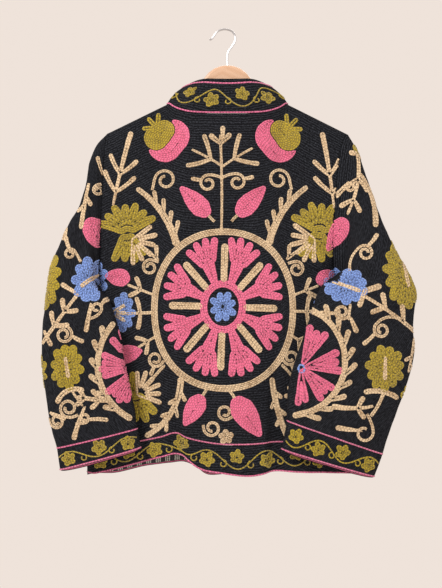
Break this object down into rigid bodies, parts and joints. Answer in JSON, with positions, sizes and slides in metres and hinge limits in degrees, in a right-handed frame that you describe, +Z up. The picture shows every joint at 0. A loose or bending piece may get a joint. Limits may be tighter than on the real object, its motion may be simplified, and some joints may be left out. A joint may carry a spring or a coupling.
{
  "type": "suzani jacket on a hanger",
  "caption": "Long-sleeved hip-length embroidered jacket with a stand collar and an open front, hanging on a wooden hanger with a wire hook.",
  "frame": {"origin": "top of the inside of the hanger's hook, where the hanger hangs", "axes": "+Z up, +Y from the jacket's back to its fronts, +X towards the wearer's right sleeve"},
  "size_m": [0.628, 0.0969, 0.7794],
  "materials": {
    "black_cloth": "ribbed black cotton",
    "facing_tape": "woven striped tape",
    "wood": "satin varnish",
    "wire": "drawn steel wire"
  },
  "bodies": {
    "root": {"back_panel": "black_cloth", "back_hem_band": "black_cloth", "left_front": "black_cloth", "left_front_hem_band": "black_cloth", "right_front": "black_cloth", "right_front_hem_band": "black_cloth", "left_sleeve": "black_cloth", "left_cuff_band": "black_cloth", "right_sleeve": "black_cloth", "right_cuff_band": "black_cloth", "collar": "black_cloth", "left_front_facing_tape": "facing_tape", "left_cuff_facing_tape": "facing_tape", "right_cuff_facing_tape": "facing_tape", "wooden_hanger": "wood", "hanger_hook": "wire"}
  },
  "joints": []
}
